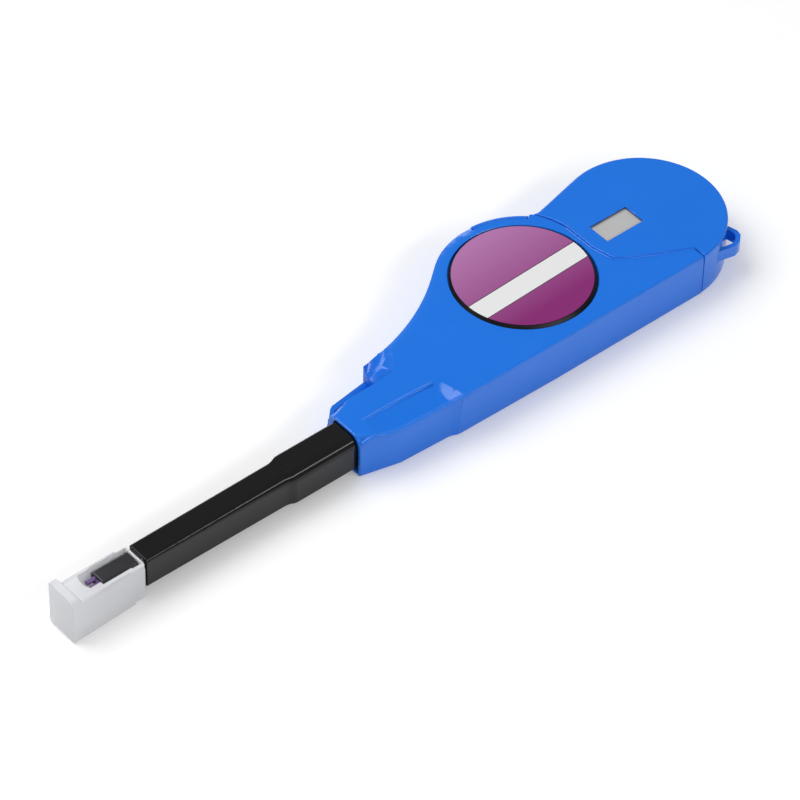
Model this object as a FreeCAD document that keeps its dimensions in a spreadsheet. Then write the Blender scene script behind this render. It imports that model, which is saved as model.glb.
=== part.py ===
"""Push-type cleaning pen for multi-fibre connectors, with its tape drive.

X runs along the pen, the tip towards -X. Z is up, and Z = 0 is the flat underside.
The origin lies under the centre of the take-up reel. All lengths are millimetres.
"""
import FreeCAD, Part
import math
import os
import Sketcher

V = FreeCAD.Vector

DIMENSIONS = {
    # housing: front cover, rear cover and base
    "thick": 14.4, "wall": 1.5, "roof": 1.5, "floor": 1.5, "parting": 7.0, "seam": 0.35,
    "joint_gap": 0.05, "mid_radius": 24.55, "rim_radius": 25.0, "rim_start": 24.65,
    "rim_wall": 1.6, "rim_top": 13.8, "rim_bevel": 0.5,
    "rear_radius": 23.4, "rear_x": 42.7, "rear_y": -1.9,
    "near_y": -25.3, "nose_x": -74.3, "nose_end": -55.2, "seam_x": 43.9,
    "edge_wide": 3.0, "edge_drop": 0.9,
    "waist_radius": 5.0, "wing_radius": 68.4,
    # label dial and its sticker
    "dial_radius": 20.45, "dial_gap": 0.25, "dial_thick": 1.2, "dial_proud": 0.4,
    "dial_bevel": 0.7, "dial_seat": 18.6, "sticker_radius": 19.6, "sticker_thick": 0.12,
    # window in the rear cover
    "window_x": 34.05, "window_y": -0.25, "window_long": 13.1, "window_wide": 7.4,
    "pane_thick": 0.9, "pane_sunk": 0.9, "pane_lap": 0.9,
    # lanyard loop
    "loop_tall": 3.7,
    # nozzle, sleeve and head, all on the push axis
    "axis_y": -13.9, "axis_z": 7.2,
    "nozzle_front": -143.5, "shoulder_x": -97.6, "barrel_end": -60.0, "tail_end": -40.0,
    "nozzle_wide": 7.5, "nozzle_tall": 10.5, "barrel_wide": 9.4, "barrel_tall": 11.4,
    "barrel_round": 3.0,
    "tail_wide": 8.4, "tail_tall": 10.4, "bore_wide": 5.6, "bore_tall": 8.8,
    "channel_gap": 0.3,
    "sleeve_front": -156.6, "sleeve_wide": 6.0, "sleeve_tall": 10.0, "sleeve_end": -128.5,
    "head_front": -156.9, "head_end": -135.0, "head_wide": 3.8, "head_tall": 7.6,
    "pad_thick": 0.5, "prong_radius": 0.65, "prong_tip": -159.3,
    # tape, reels and drive
    "tape_wide": 5.8, "tape_thick": 0.15, "flange_radius": 19.4, "flange_thick": 0.6,
    "hub_radius": 8.0, "spindle_radius": 2.4, "running_fit": 0.1,
    "module": 0.8, "gear_teeth": 30, "gear_thick": 1.4, "gear_z": 1.7,
    "take_up_roll": 9.6, "supply_roll": 17.6, "ratchet_teeth": 36, "ratchet_deep": 0.8,
    # springs
    "pull_spring_radius": 2.0, "pull_spring_wire": 0.5, "pull_spring_y": -4.2,
    "head_spring_radius": 1.1, "head_spring_wire": 0.4,
    # cap
    "cap_front": -168.7, "cap_mouth": -146.4, "cap_wide": 10.5, "cap_tall": 13.2,
    "cap_wall": 1.4, "cap_lip": 1.8, "cap_shift": 0.45, "cap_collar": 1.9, "cap_step": 0.35,
}

COIL_SIDES = 14         # straight runs in one turn of a spring

doc = FreeCAD.newDocument("CleaningPen")
sheet = doc.addObject("Spreadsheet::Sheet", "Dims")
for row, (alias, value) in enumerate(DIMENSIONS.items(), start=1):
    sheet.set("A%d" % row, alias)
    sheet.set("B%d" % row, str(value))
    sheet.setAlias("B%d" % row, alias)
doc.recompute()

PARTS = []


# ---------------------------------------------------------------- shared helpers

def bind(expression):
    """The expression with every name of the sheet written as Dims.name."""
    out, word = "", ""
    for char in str(expression) + " ":
        if char.isalnum() or char in "_.":
            word += char
            continue
        out += "Dims." + word if word in DIMENSIONS else word
        out += char
        word = ""
    return out.strip()


def size(expression):
    """Value of an expression in the sheet's names, such as 'thick - roof'."""
    value = sheet.evalExpression(bind(expression))
    return float(getattr(value, "Value", value))


def polar(centre, radius, degrees):
    """Point on a circle round a centre."""
    turn = math.radians(degrees)
    return (centre[0] + radius * math.cos(turn), centre[1] + radius * math.sin(turn))


def new_body(label, x="0", y="0", z="0"):
    """Body with its own label, whose place is bound to the sheet."""
    body = doc.addObject("PartDesign::Body", label)
    body.Label = label
    for axis, expression in (("x", x), ("y", y), ("z", z)):
        body.setExpression("Placement.Base." + axis, bind(expression))
    PARTS.append(body)
    return body


def new_sketch(body, name, role="XY_Plane", offset="0"):
    """Sketch on one of the body's own planes, moved along its normal."""
    sketch = body.newObject("Sketcher::SketchObject", body.Label + "_" + name)
    plane = [f for f in body.Origin.OriginFeatures if f.Role == role][0]
    sketch.AttachmentSupport = (plane, [""])
    sketch.MapMode = "FlatFace"
    sketch.setExpression("AttachmentOffset.Base.z", bind(offset))
    return sketch


def end_at(sketch, number, point):
    """Number of the end of a line or an arc that lies at the point."""
    start = sketch.getPoint(number, 1)
    return 1 if math.hypot(start.x - point[0], start.y - point[1]) < 1e-6 else 2


def outline(sketch, points):
    """Closed outline. An entry (through, end) is an arc, a plain point a straight run."""
    last = points[-1]
    here = last[1] if isinstance(last[0], tuple) else last
    ends = []
    for entry in points:
        if isinstance(entry[0], tuple):
            through, end = entry
            number = sketch.addGeometry(Part.Arc(V(*here, 0), V(*through, 0), V(*end, 0)), False)
        else:
            end = entry
            number = sketch.addGeometry(Part.LineSegment(V(*here, 0), V(*end, 0)), False)
        ends.append((number, here, end))
        here = end
    for (one, _, corner), (two, start, _) in zip(ends, ends[1:] + ends[:1]):
        sketch.addConstraint(Sketcher.Constraint(
            "Coincident", one, end_at(sketch, one, corner), two, end_at(sketch, two, start)))


def circle(sketch, radius, centre=(0.0, 0.0)):
    """Circle whose radius is bound to the sheet."""
    place = V(centre[0], centre[1], 0)
    number = sketch.addGeometry(Part.Circle(place, V(0, 0, 1), size(radius)), False)
    if centre == (0.0, 0.0):
        sketch.addConstraint(Sketcher.Constraint("Coincident", number, 3, -1, 1))
    index = sketch.addConstraint(Sketcher.Constraint("Radius", number, size(radius)))
    sketch.setExpression("Constraints[%d]" % index, bind(radius))


def extrude(body, sketch, length, cut=False, along=True):
    """Pad, or pocket when cut is set; along follows the sketch's own normal."""
    kind = "PartDesign::Pocket" if cut else "PartDesign::Pad"
    before = body.Shape.Volume if body.Tip else 0.0
    feature = body.newObject(kind, sketch.Name + "_" + ("cut" if cut else "pad"))
    feature.Profile = sketch
    feature.Type = 0
    feature.setExpression("Length", bind(length))
    feature.Reversed = along if cut else not along
    sketch.Visibility = False
    doc.recompute()
    change = body.Shape.Volume - before
    if (cut and change > -1e-6) or (not cut and change < 1e-6):
        raise ValueError("%s changes nothing" % feature.Name)
    return feature


def loft(body, name, stations, cut=False, ruled=True):
    """Loft along X through outlines given as (x expression, outline) in Y and Z."""
    sketches = []
    for number, (x, points) in enumerate(stations):
        sketch = new_sketch(body, "%s%d" % (name, number), "YZ_Plane", x)
        outline(sketch, points)
        sketches.append(sketch)
    kind = "PartDesign::SubtractiveLoft" if cut else "PartDesign::AdditiveLoft"
    feature = body.newObject(kind, body.Label + "_" + name)
    feature.Profile = sketches[0]
    feature.Sections = sketches[1:]
    feature.Ruled = ruled
    doc.recompute()
    return feature


def edges_where(shape, test):
    """Names of the edges for which the test holds."""
    return ["Edge%d" % n for n, edge in enumerate(shape.Edges, start=1) if test(edge)]


def dress(body, kind, name, test, amount):
    """Fillet or chamfer of the body's edges that pass the test."""
    base = body.Tip
    feature = body.newObject("PartDesign::" + kind, body.Label + "_" + name)
    feature.Base = (base, edges_where(base.Shape, test))
    feature.setExpression("Radius" if kind == "Fillet" else "Size", bind(amount))
    doc.recompute()
    return feature


def at_height(z):
    """Test for edges that lie at one height."""
    return lambda edge: all(abs(v.Z - z) < 1e-3 for v in edge.Vertexes) and \
        abs(edge.CenterOfMass.z - z) < 1e-3


def pin_on(label, length, radius, x, y, z):
    """Plain pin standing on the point given in the sheet's names."""
    pin = doc.addObject("Part::Cylinder", label)
    pin.setExpression("Radius", bind(radius))
    pin.setExpression("Height", bind(length))
    for axis, expression in (("x", x), ("y", y), ("z", z)):
        pin.setExpression("Placement.Base." + axis, bind(expression))
    return pin


def pattern(body, feature, sketch, count, length=None):
    """Repeats of a feature round the body's own Z, or along its own X for a length."""
    kind = "PolarPattern" if length is None else "LinearPattern"
    repeat = body.newObject("PartDesign::" + kind, feature.Name + "_repeat")
    repeat.Originals = [feature]
    if length is None:
        repeat.Axis = (sketch, ["N_Axis"])
        repeat.Angle = 360
    else:
        repeat.Direction = (sketch, ["H_Axis"])
        repeat.setExpression("Length", bind(length))
    repeat.setExpression("Occurrences", bind(count))
    body.Tip = repeat
    doc.recompute()
    return repeat


def band(path, thick):
    """Outline of a strip of even thickness along a path of straight runs."""
    sides = ([], [])
    for number, point in enumerate(path):
        before = path[max(number - 1, 0)]
        after = path[min(number + 1, len(path) - 1)]
        into = before if before != point else (2 * point[0] - after[0], 2 * point[1] - after[1])
        out = after if after != point else (2 * point[0] - before[0], 2 * point[1] - before[1])
        first = math.atan2(point[1] - into[1], point[0] - into[0])
        second = math.atan2(out[1] - point[1], out[0] - point[0])
        across = (first + second) / 2 + math.pi / 2
        reach = thick / 2 / math.cos((second - first) / 2)
        for side, sign in zip(sides, (1, -1)):
            side.append((point[0] + sign * reach * math.cos(across),
                         point[1] + sign * reach * math.sin(across)))
    return sides[0] + sides[1][::-1]


# ---------------------------------------------------------------- housing outlines

MID = (0.0, 0.0)
REAR = (size("rear_x"), size("rear_y"))
NOTCH = 85.0            # degrees, where the base's rim begins on the mid disc
WING_START = 128.0      # degrees, where the mid disc runs into the wing
LAND = 5.7              # straight run between the mid disc and the wing's hollow curve
WING_LAST = -79.0       # degrees on the hollow curve, where it ends at the nose
WING_INSIDE = -72.8     # degrees on the hollow curve, where the cavity ends
WAIST_SLOPE = 13.0      # slope of the straight run from the waist to the rear disc
ROUND_BACK = 10.0       # degrees, a point on the far right of the rear disc
PAWL = (-23.6, 7.6)     # pivot of the stop pawl
PINS = ((-21.2, -17.6), (-13.2, -20.2), (-21.2, -10.2))     # pins that lead the tape


def wing(inset, last_degrees):
    """Outline entries from the notch along the mid disc and the wing, moved inwards."""
    radius = size("mid_radius") - inset
    slope = WING_START - 90.0
    start = polar(MID, radius, WING_START)
    land = polar(start, -LAND, slope)
    centre = polar(land, size("wing_radius") + inset, WING_START)
    hollow = size("wing_radius") + inset
    middle = (WING_START - 180.0 + last_degrees) / 2
    return [(polar(MID, radius, (NOTCH + WING_START) / 2), start), land,
            (polar(centre, hollow, middle), polar(centre, hollow, last_degrees))]


def waist(inset):
    """Points of the fillet between the rim of the mid disc and the run to the rear disc."""
    small = size("waist_radius")
    ring = size("rim_radius")
    side = polar(REAR, size("rear_radius") + small, 90.0 + WAIST_SLOPE)
    run = polar(MID, 1.0, WAIST_SLOPE)
    along = side[0] * run[0] + side[1] * run[1]
    beyond = side[0] ** 2 + side[1] ** 2 - (ring + small) ** 2
    step = math.sqrt(along ** 2 - beyond) - along
    centre = (side[0] + step * run[0], side[1] + step * run[1])
    turn = math.degrees(math.atan2(centre[1], centre[0]))
    line_turn = WAIST_SLOPE - 90.0
    radius = small + inset
    return {
        "rear": polar(REAR, size("rear_radius") - inset, 90.0 + WAIST_SLOPE),
        "line": polar(centre, radius, line_turn),
        "middle": polar(centre, radius, (line_turn + turn - 180.0) / 2),
        "centre": centre,
        "disc": polar(MID, ring - inset, turn),
        "turn": turn,
    }


def rim_run(inset):
    """Outline entries of the rim's outer side, from the waist to the notch."""
    start = size("rim_start") - inset
    return [(polar(MID, (size("rim_radius") + start - inset) / 2, 66.0), polar(MID, start, NOTCH))]


def on_rear(inset, x):
    """Point of the near side of the rear disc at a given X."""
    radius = size("rear_radius") - inset
    return (x, REAR[1] - math.sqrt(radius ** 2 - (x - REAR[0]) ** 2))


def round_rear(inset):
    """Arc round the back of the rear disc, to the straight run of the waist."""
    radius = size("rear_radius") - inset
    return (polar(REAR, radius, ROUND_BACK), waist(inset)["rear"])


def near_side(inset):
    """Near wall from the nose to its straight part, moved inwards by the inset."""
    y = size("near_y") + inset
    return [(size("nose_x"), y + 5.3), (-62.5, y + 2.35), (-46.4, y + 1.6),
            (-45.2, y + 1.3), (-44.2, y + 0.8), (-43.0, y + 0.6), (-9.0, y)]


def seam_line(gap):
    """Seam on the top face, from the near wall to the right of the dial."""
    x = size("seam_x")
    return [(x + gap, -21.0 + 0.6 * gap), (28.2 + 0.4 * gap, -13.1 + 0.9 * gap),
            (23.9 + gap, -10.3 + 0.5 * gap), (22.3 + gap, -3.5), (22.3 + gap, 7.4)]


# ---------------------------------------------------------------- housing

def front_cover():
    """Cover with the dial's seat, the whole near wall and the upper nose."""
    body = new_body("front_cover")
    nose = size("nose_x")
    end = size("nose_end")
    mid = size("mid_radius")
    near = size("near_y")
    top = size("thick")
    seam_x = size("seam_x")
    neck = waist(0.0)
    beak = polar(neck["centre"], size("waist_radius"), -112.0)
    rim_end = polar(neck["centre"], size("waist_radius"), -121.0)
    under_rim = size("rim_radius - rim_wall - 0.2")
    rim_foot = polar(MID, under_rim, 46.0)

    sketch = new_sketch(body, "outline")
    outline(sketch, near_side(0.0) + [(seam_x, near)] + seam_line(0.0)
            + [(21.4, 11.1), polar(MID, mid, 43.0),
               (polar(MID, mid, 65.0), polar(MID, mid, NOTCH))]
            + wing(0.0, WING_LAST) + [(end, 1.8), (end, -6.3), (nose, -6.3)])
    extrude(body, sketch, "thick")

    def wing_edge(edge):
        middle = edge.CenterOfMass
        return at_height(top)(edge) and middle.x < -1 and middle.y > 1.9

    slope = dress(body, "Chamfer", "far_slope", wing_edge, "edge_drop")
    slope.ChamferType = "Two distances"
    slope.setExpression("Size2", bind("edge_wide"))
    doc.recompute()

    # the base's rim stands beside the flat land between the beak and the notch
    land = new_sketch(body, "rim_land", offset="thick - roof")
    outline(land, [(22.3, 7.4), ((21.4, 11.1), beak), rim_end, rim_foot,
                   (polar(MID, under_rim, 65.0), polar(MID, under_rim, NOTCH)),
                   polar(MID, under_rim - 2.2, NOTCH),
                   (polar(MID, under_rim - 2.2, 50.0), polar(MID, under_rim - 2.2, 24.0))])
    extrude(body, land, "roof")
    room = new_sketch(body, "rim_room", offset="-1")
    outline(room, [rim_foot, (polar(MID, under_rim, 65.0), polar(MID, under_rim, NOTCH)),
                   polar(MID, mid + 1.0, NOTCH),
                   (polar(MID, mid + 1.0, 65.0), polar(MID, mid + 1.0, 46.5)), rim_end])
    extrude(body, room, "thick + 2", cut=True)

    def near_edge(edge):
        middle = edge.CenterOfMass
        level = at_height(top)(edge) or at_height(0.0)(edge)
        return level and middle.y < -21.0 and middle.x < 40

    dress(body, "Fillet", "near_rounding", near_edge, "0.8")

    # room for the base below the parting plane, then the cavity under the roof
    lower = new_sketch(body, "lower", offset="-1")
    rim = near_side(size("wall"))
    outline(lower, [(nose - 2, rim[0][1])] + rim[1:] + [
        (seam_x + 2, near + size("wall")), (seam_x + 2, 30.0), (nose - 2, 30.0)])
    extrude(body, lower, "parting + joint_gap + 1", cut=True)

    cavity = new_sketch(body, "cavity", offset="parting")
    inside = wing(size("wall"), WING_INSIDE)
    end_of_cavity = inside[-1][1][0]
    narrow = under_rim - 1.3
    outline(cavity, [(end_of_cavity, near + size("wall")), (seam_x + 2, near + size("wall")),
                     (seam_x + 2, 9.1), (math.sqrt(narrow ** 2 - 9.1 ** 2), 9.1),
                     (polar(MID, narrow, 60.0), polar(MID, narrow, NOTCH)),
                     polar(MID, mid - size("wall"), NOTCH)] + inside)
    extrude(body, cavity, "thick - roof - parting", cut=True)

    # channel of the nozzle, its corners cut like the barrel's own
    channel = new_sketch(body, "channel", "YZ_Plane", "nose_x - 1")
    wide = size("barrel_wide / 2 + channel_gap")
    tall = size("barrel_tall / 2 + channel_gap")
    y, z = size("axis_y"), size("axis_z")
    turn = size("barrel_round + channel_gap")
    outline(channel, [(y - wide, -1.0), (y + wide, -1.0), (y + wide, z + tall - 0.5),
                      (y + wide - 0.5, z + tall), (y - wide + turn, z + tall),
                      (polar((y - wide + turn, z + tall - turn), turn, 135.0),
                       (y - wide, z + tall - turn))])
    extrude(body, channel, "36", cut=True)

    # scoops for finger and thumb, and the sloping front of the nose
    loft(body, "near_scoop", [
        ("-71.5", [(-15.0, 14.9), (-16.4, 14.6), (-27.0, 14.45), (-27.0, 15.3)]),
        ("-67.5", [(-15.0, 14.5), (-16.4, 13.75), (-27.0, 12.1), (-27.0, 15.3)]),
        ("-46.5", [(-15.0, 14.5), (-16.4, 13.75), (-27.0, 12.1), (-27.0, 15.3)]),
        ("-41.5", [(-15.0, 14.9), (-16.4, 14.6), (-27.0, 14.45), (-27.0, 15.3)])], cut=True)
    # hollow between the end of the wing and the nose
    loft(body, "far_hollow", [
        ("nose_end - 0.6", [(2.6, 13.3), (1.7, 12.7), (0.6, 10.4), (-0.3, 9.2), (-6.1, 8.9),
                            (-6.1, 15.5), (2.6, 15.5)]),
        ("-51.2", [(3.6, 13.7), (2.4, 13.45), (1.0, 12.6), (-0.6, 12.0), (-5.9, 14.3),
                   (-6.0, 15.5), (3.6, 15.5)]),
        ("-46.2", [(4.8, 14.45), (3.6, 14.45), (2.4, 14.45), (0.8, 14.5), (-1.2, 14.6),
                   (-1.4, 15.5), (4.8, 15.5)])], cut=True)

    front = new_sketch(body, "nose_slope", "XZ_Plane")
    outline(front, [(-67.0, top), (nose - 2, top - 0.7), (nose - 2, top + 1), (-67.0, top + 1)])
    extrude(body, front, "40", cut=True)
    loft(body, "near_bevel", [
        ("-69.5", [(-20.9, 14.4), (-21.1, 14.2), (-21.4, 14.6)]),
        ("nose_x - 0.2", [(-17.4, 14.0), (-20.2, 10.5), (-21.4, 14.6)])], cut=True)
    loft(body, "far_bevel", [
        ("-67.0", [(-6.6, 14.5), (-6.45, 14.45), (-6.2, 14.45), (-6.1, 14.6)]),
        ("-70.8", [(-8.4, 14.25), (-7.2, 13.5), (-6.2, 12.3), (-6.1, 14.6)]),
        ("nose_x - 0.2", [(-8.8, 13.8), (-7.3, 13.0), (-6.2, 10.8), (-6.1, 14.6)])], cut=True)

    # seat of the dial, and the hole below it
    seat = new_sketch(body, "dial_seat", offset="thick + dial_proud - dial_thick")
    circle(seat, "dial_radius + dial_gap")
    extrude(body, seat, "2", cut=True)
    hole = new_sketch(body, "dial_hole", offset="parting + 1")
    circle(hole, "dial_seat")
    extrude(body, hole, "7", cut=True)
    return body


def rear_cover():
    """Cover of the rear disc with the window's hole and the lanyard loop."""
    body = new_body("rear_cover")
    seam_x = size("seam_x + seam")
    neck = waist(0.0)
    inner = waist(size("wall"))
    beak = polar(neck["centre"], size("waist_radius"), -107.5)

    sketch = new_sketch(body, "outline", offset="parting + joint_gap")
    outline(sketch, seam_line(size("seam")) + [((21.8, 11.2), beak),
            (polar(neck["centre"], size("waist_radius"), -92.0), neck["line"]), neck["rear"],
            (polar(REAR, size("rear_radius"), ROUND_BACK), on_rear(0.0, seam_x))])
    extrude(body, sketch, "thick - parting - joint_gap")

    def outer_edge(edge):
        middle = edge.CenterOfMass
        return at_height(size("thick"))(edge) and (
            edge.Length > 60 or (middle.y > 15 and middle.x > 19))

    dress(body, "Chamfer", "top_bevel", outer_edge, "0.35")

    loop = new_sketch(body, "loop", offset="parting + joint_gap")
    outline(loop, [(50.6, -23.7), (56.3, -25.0), (58.6, -24.3), (60.6, -22.4), (61.0, -20.6),
                   (60.0, -17.0)])
    outline(loop, [(52.6, -22.9), (56.2, -23.6), (58.0, -23.0), (59.3, -21.6), (59.5, -20.4),
                   (58.9, -18.0)])
    extrude(body, loop, "loop_tall")

    cavity = new_sketch(body, "cavity", offset="parting")
    back = size("rear_radius - wall")
    outline(cavity, [(20.0, -23.5), on_rear(size("wall"), seam_x - 0.8),
                     (polar(REAR, back, ROUND_BACK), inner["rear"]), inner["line"],
                     (24.5, 14.2), (20.0, 8.5)])
    extrude(body, cavity, "thick - roof - parting", cut=True)

    window = new_sketch(body, "window", offset="thick - pane_sunk - 0.1")
    rectangle_at(window, "window_long", "window_wide", "window_x", "window_y")
    extrude(body, window, "2", cut=True)
    rebate = new_sketch(body, "rebate", offset="thick - roof - 1")
    rectangle_at(rebate, "window_long + 2 * pane_lap", "window_wide + 2 * pane_lap",
                 "window_x", "window_y")
    extrude(body, rebate, "1 + roof - pane_sunk", cut=True)
    return body


def base():
    """Lower shell: floor, far and rear walls, the waist's rim and the nose flange."""
    body = new_body("base")
    nose = size("nose_x")
    end = size("nose_end")
    wall = size("wall")
    mid = size("mid_radius")
    neck = waist(0.0)
    inner = waist(wall)
    seam_x = size("seam_x + seam")
    edge = near_side(wall + 0.1)

    sketch = new_sketch(body, "outline")
    outline(sketch, edge + [(seam_x, size("near_y") + wall + 0.1), on_rear(0.0, seam_x),
            round_rear(0.0), neck["line"], (neck["middle"], neck["disc"]),
            ] + rim_run(0.0) + [polar(MID, mid, NOTCH)] + wing(0.0, WING_LAST) + [
            (end, 1.6), (-67.5, 0.0), (-68.7, -0.7), (-70.2, -2.2), (nose, -5.9)])
    extrude(body, sketch, "parting")

    def under_edge(line):
        middle = line.CenterOfMass
        outside = middle.y > -3 or middle.x > 45
        return at_height(0.0)(line) and outside and middle.x > -73.5

    dress(body, "Chamfer", "under_bevel", under_edge, "0.6")

    cavity = new_sketch(body, "cavity", offset="floor")
    outline(cavity, [(nose - 2, -30.0), (seam_x, -30.0), on_rear(wall, seam_x),
                     round_rear(wall), inner["line"], (inner["middle"], inner["disc"]),
                     ] + rim_run(wall) + [polar(MID, mid - wall, NOTCH)]
            + wing(wall, WING_LAST + 1.0) + [
                (-54.2, -0.6), (-63.3, -1.1), (-67.4, -1.6), (-68.8, -2.4), (nose - 2, -8.4)])
    extrude(body, cavity, "parting", cut=True)

    rim = new_sketch(body, "rim", offset="floor")
    inside = size("rim_radius - rim_wall")
    tip = polar(neck["centre"], size("waist_radius"), -122.5)
    outline(rim, [(polar(neck["centre"], size("waist_radius"), -127.5), neck["disc"])]
            + rim_run(0.0) + [polar(MID, inside, NOTCH),
            (polar(MID, inside, 65.0), polar(MID, inside, 46.4)), tip])
    extrude(body, rim, "rim_top - floor")

    def rim_edge(edge):
        outside = math.hypot(edge.CenterOfMass.x, edge.CenterOfMass.y) > 24.0
        return at_height(size("rim_top"))(edge) and outside and edge.Length > 3

    dress(body, "Chamfer", "rim_top_bevel", rim_edge, "rim_bevel")

    side = new_sketch(body, "channel_wall", offset="floor")
    outline(side, [(nose, -8.9), (-57.0, -8.9), (-57.0, -6.3), (nose, -6.3)])
    extrude(body, side, "parting - floor")
    groove = new_sketch(body, "channel_floor", offset="floor - channel_gap")
    outline(groove, [(nose - 1, -30.0), (-27.0, -30.0), (-27.0, -8.9), (nose - 1, -8.9)])
    extrude(body, groove, "channel_gap", cut=True)

    for name, place in (("mid", MID), ("rear", REAR)):
        post = new_sketch(body, name + "_spindle", offset="floor")
        circle(post, "spindle_radius", place)
        extrude(body, post, "10.5")
    boss = new_sketch(body, "rear_boss", offset="floor")
    circle(boss, "7", REAR)
    extrude(body, boss, "1.5")
    stop = new_sketch(body, "spring_stop", offset="floor")
    outline(stop, [(-20.9, -7.2), (-19.8, -7.2), (-19.8, -1.5), (-20.9, -1.5)])
    extrude(body, stop, "9")
    pivot = new_sketch(body, "pawl_pivot", offset="floor")
    circle(pivot, "0.8", PAWL)
    extrude(body, pivot, "3.5")
    return body


def rectangle_at(sketch, wide, tall, x, y):
    """Rectangle whose centre and sides are bound to the sheet."""
    half_w, half_t = size(wide) / 2, size(tall) / 2
    cx, cy = size(x), size(y)
    corners = [V(cx - half_w, cy - half_t, 0), V(cx + half_w, cy - half_t, 0),
               V(cx + half_w, cy + half_t, 0), V(cx - half_w, cy + half_t, 0)]
    for i in range(4):
        sketch.addGeometry(Part.LineSegment(corners[i], corners[(i + 1) % 4]), False)
    for i in range(4):
        sketch.addConstraint(Sketcher.Constraint("Coincident", i, 2, (i + 1) % 4, 1))
        straight = "Horizontal" if i % 2 == 0 else "Vertical"
        sketch.addConstraint(Sketcher.Constraint(straight, i))
    bound = (("DistanceX", (0, 1, 0, 2), wide), ("DistanceY", (1, 1, 1, 2), tall),
             ("DistanceX", (-1, 1, 1, 2), "%s + (%s) / 2" % (x, wide)),
             ("DistanceY", (-1, 1, 1, 2), "%s + (%s) / 2" % (y, tall)))
    for kind, ends, expression in bound:
        index = sketch.addConstraint(Sketcher.Constraint(kind, *ends, size(expression)))
        sketch.setExpression("Constraints[%d]" % index, bind(expression))


def rectangle(sketch, wide, tall):
    """Rectangle centred on the sketch, its two sides bound to the sheet."""
    outline(sketch, [(-size(wide) / 2, -size(tall) / 2), (size(wide) / 2, -size(tall) / 2),
                     (size(wide) / 2, size(tall) / 2), (-size(wide) / 2, size(tall) / 2)])


# ---------------------------------------------------------------- dial and window

def label_dial():
    """Bevelled disc in the front cover."""
    body = new_body("label_dial", z="thick + dial_proud - dial_thick")
    sketch = new_sketch(body, "disc")
    circle(sketch, "dial_radius")
    extrude(body, sketch, "dial_thick")
    dress(body, "Chamfer", "bevel", at_height(size("dial_thick")), "dial_bevel")
    return body


def label_sticker():
    """Round sticker on the disc."""
    body = new_body("label_sticker", x="-0.15", y="0.1", z="thick + dial_proud")
    sketch = new_sketch(body, "disc")
    circle(sketch, "sticker_radius")
    extrude(body, sketch, "sticker_thick")
    return body


def window_pane():
    """Pane held in the rebate under the window's hole."""
    body = new_body("window_pane", "window_x", "window_y", "thick - pane_sunk - pane_thick")
    sketch = new_sketch(body, "plate")
    rectangle_at(sketch, "window_long + 2 * pane_lap - 0.1", "window_wide + 2 * pane_lap - 0.1",
                 "0", "0")
    extrude(body, sketch, "pane_thick")
    return body


# ---------------------------------------------------------------- nozzle and head

def cut_corners(wide, tall, corner):
    """Points of a rectangle with cut corners, centred on the sketch."""
    w, t = wide / 2, tall / 2
    return [(-w, t - corner), (-w, corner - t), (corner - w, -t), (w - corner, -t),
            (w, corner - t), (w, t - corner), (w - corner, t), (corner - w, t)]


def barrel_outline(wide, tall, turn):
    """Outline of the nozzle: its top near corner is round, the other corners are cut."""
    w, t = wide / 2, tall / 2
    return [(-w, 1.1 - t), (1.1 - w, -t), (w - 0.6, -t), (w, 0.6 - t), (w, t - 0.4),
            (w - 0.4, t), (turn - w, t), (polar((turn - w, t - turn), turn, 135.0), (-w, t - turn))]


def nozzle():
    """Hollow sliding barrel, slim in front of the shoulder."""
    body = new_body("nozzle", y="axis_y", z="axis_z")
    wide, tall = size("nozzle_wide"), size("nozzle_tall")
    more_wide, more_tall = size("barrel_wide") - wide, size("barrel_tall") - tall
    stations = []
    full = size("barrel_round")
    for x, share, turn in (("nozzle_front", 0.0, 1.1), ("-110", 0.12, 1.9),
                           ("shoulder_x", 0.26, 2.5), ("shoulder_x + 1.3", 0.45, 2.7),
                           ("shoulder_x + 2.4", 0.85, 2.9), ("shoulder_x + 3.3", 1.0, full),
                           ("barrel_end", 1.0, full)):
        section = barrel_outline(wide + share * more_wide, tall + share * more_tall, turn)
        stations.append((x, section))
    loft(body, "shell", stations)
    tail = new_sketch(body, "tail", "YZ_Plane", "barrel_end")
    outline(tail, cut_corners(size("tail_wide"), size("tail_tall"), 2.0))
    extrude(body, tail, "tail_end - barrel_end")
    bore = new_sketch(body, "bore", "YZ_Plane", "nozzle_front - 1")
    rectangle(bore, "bore_wide", "bore_tall")
    extrude(body, bore, "tail_end - nozzle_front + 2", cut=True)
    return body


def tip_sleeve():
    """Guide sleeve with its spigot in the nozzle; two slots let the tape through."""
    body = new_body("tip_sleeve", y="axis_y", z="axis_z")
    outer = new_sketch(body, "outer", "YZ_Plane", "sleeve_front")
    outline(outer, cut_corners(size("sleeve_wide"), size("sleeve_tall"), 1.0))
    extrude(body, outer, "nozzle_front - sleeve_front - 0.05")
    spigot = new_sketch(body, "spigot", "YZ_Plane", "nozzle_front - 0.05")
    rectangle(spigot, "bore_wide - 0.1", "bore_tall - 0.1")
    extrude(body, spigot, "sleeve_end - nozzle_front + 0.05")
    cavity = new_sketch(body, "cavity", "YZ_Plane", "sleeve_front - 1")
    outline(cavity, cut_corners(4.6, 8.0, 0.4))
    extrude(body, cavity, "sleeve_end - sleeve_front - 0.3", cut=True)
    mouth = new_sketch(body, "mouth", "YZ_Plane", "sleeve_front - 1")
    outline(mouth, cut_corners(4.6, 8.9, 0.8))
    extrude(body, mouth, "9.6", cut=True)
    slots = new_sketch(body, "slots", "YZ_Plane", "sleeve_end - 2")
    for side in (-2.05, 2.05):
        outline(slots, [(side - 0.25, -3.4), (side + 0.25, -3.4), (side + 0.25, 3.4),
                        (side - 0.25, 3.4)])
    extrude(body, slots, "3", cut=True)
    return body


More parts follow.
